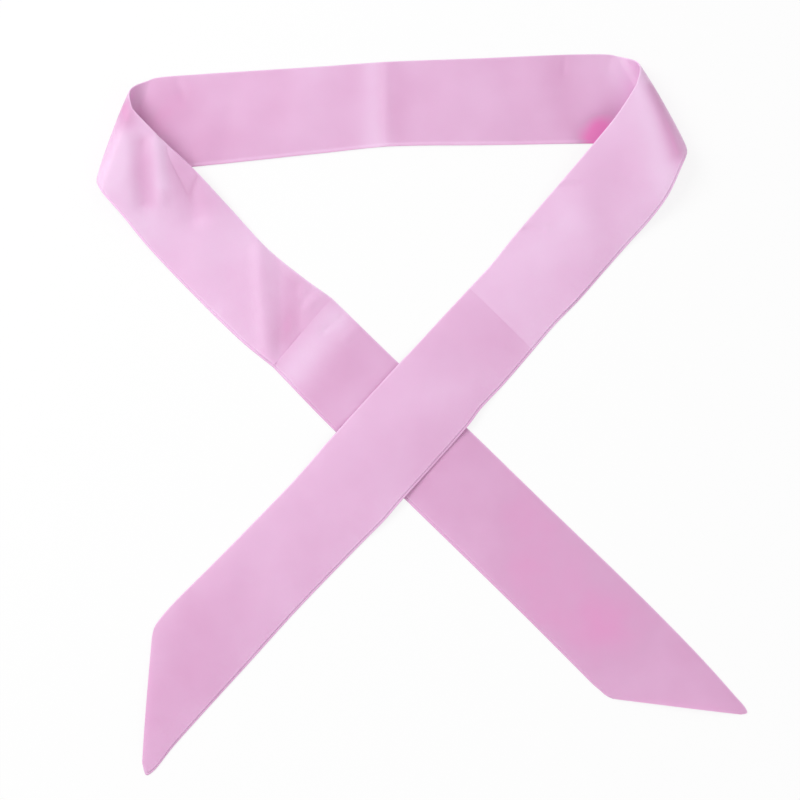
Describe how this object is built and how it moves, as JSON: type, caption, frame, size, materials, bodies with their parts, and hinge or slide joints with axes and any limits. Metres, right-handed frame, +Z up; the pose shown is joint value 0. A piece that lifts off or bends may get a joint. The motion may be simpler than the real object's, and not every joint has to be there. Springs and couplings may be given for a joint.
{
  "type": "cooling scarf",
  "caption": "Narrow doubled satin neck band with slanted tails, laid flat in a loop that turns over at each side, tails crossed.",
  "frame": {"origin": "on the surface the scarf lies on, under the middle of its outline", "axes": "+Z up off the surface, +Y from the tails towards the back of the neck loop, +X to the right as seen from the tails"},
  "size_m": [0.3503, 0.3933, 0.0202],
  "materials": {
    "satin": "soft pink satin with a low sheen"
  },
  "bodies": {
    "root": {"back_stretch": "satin", "left_arm": "satin", "right_arm": "satin", "left_tail": "satin", "right_tail": "satin"}
  },
  "joints": []
}
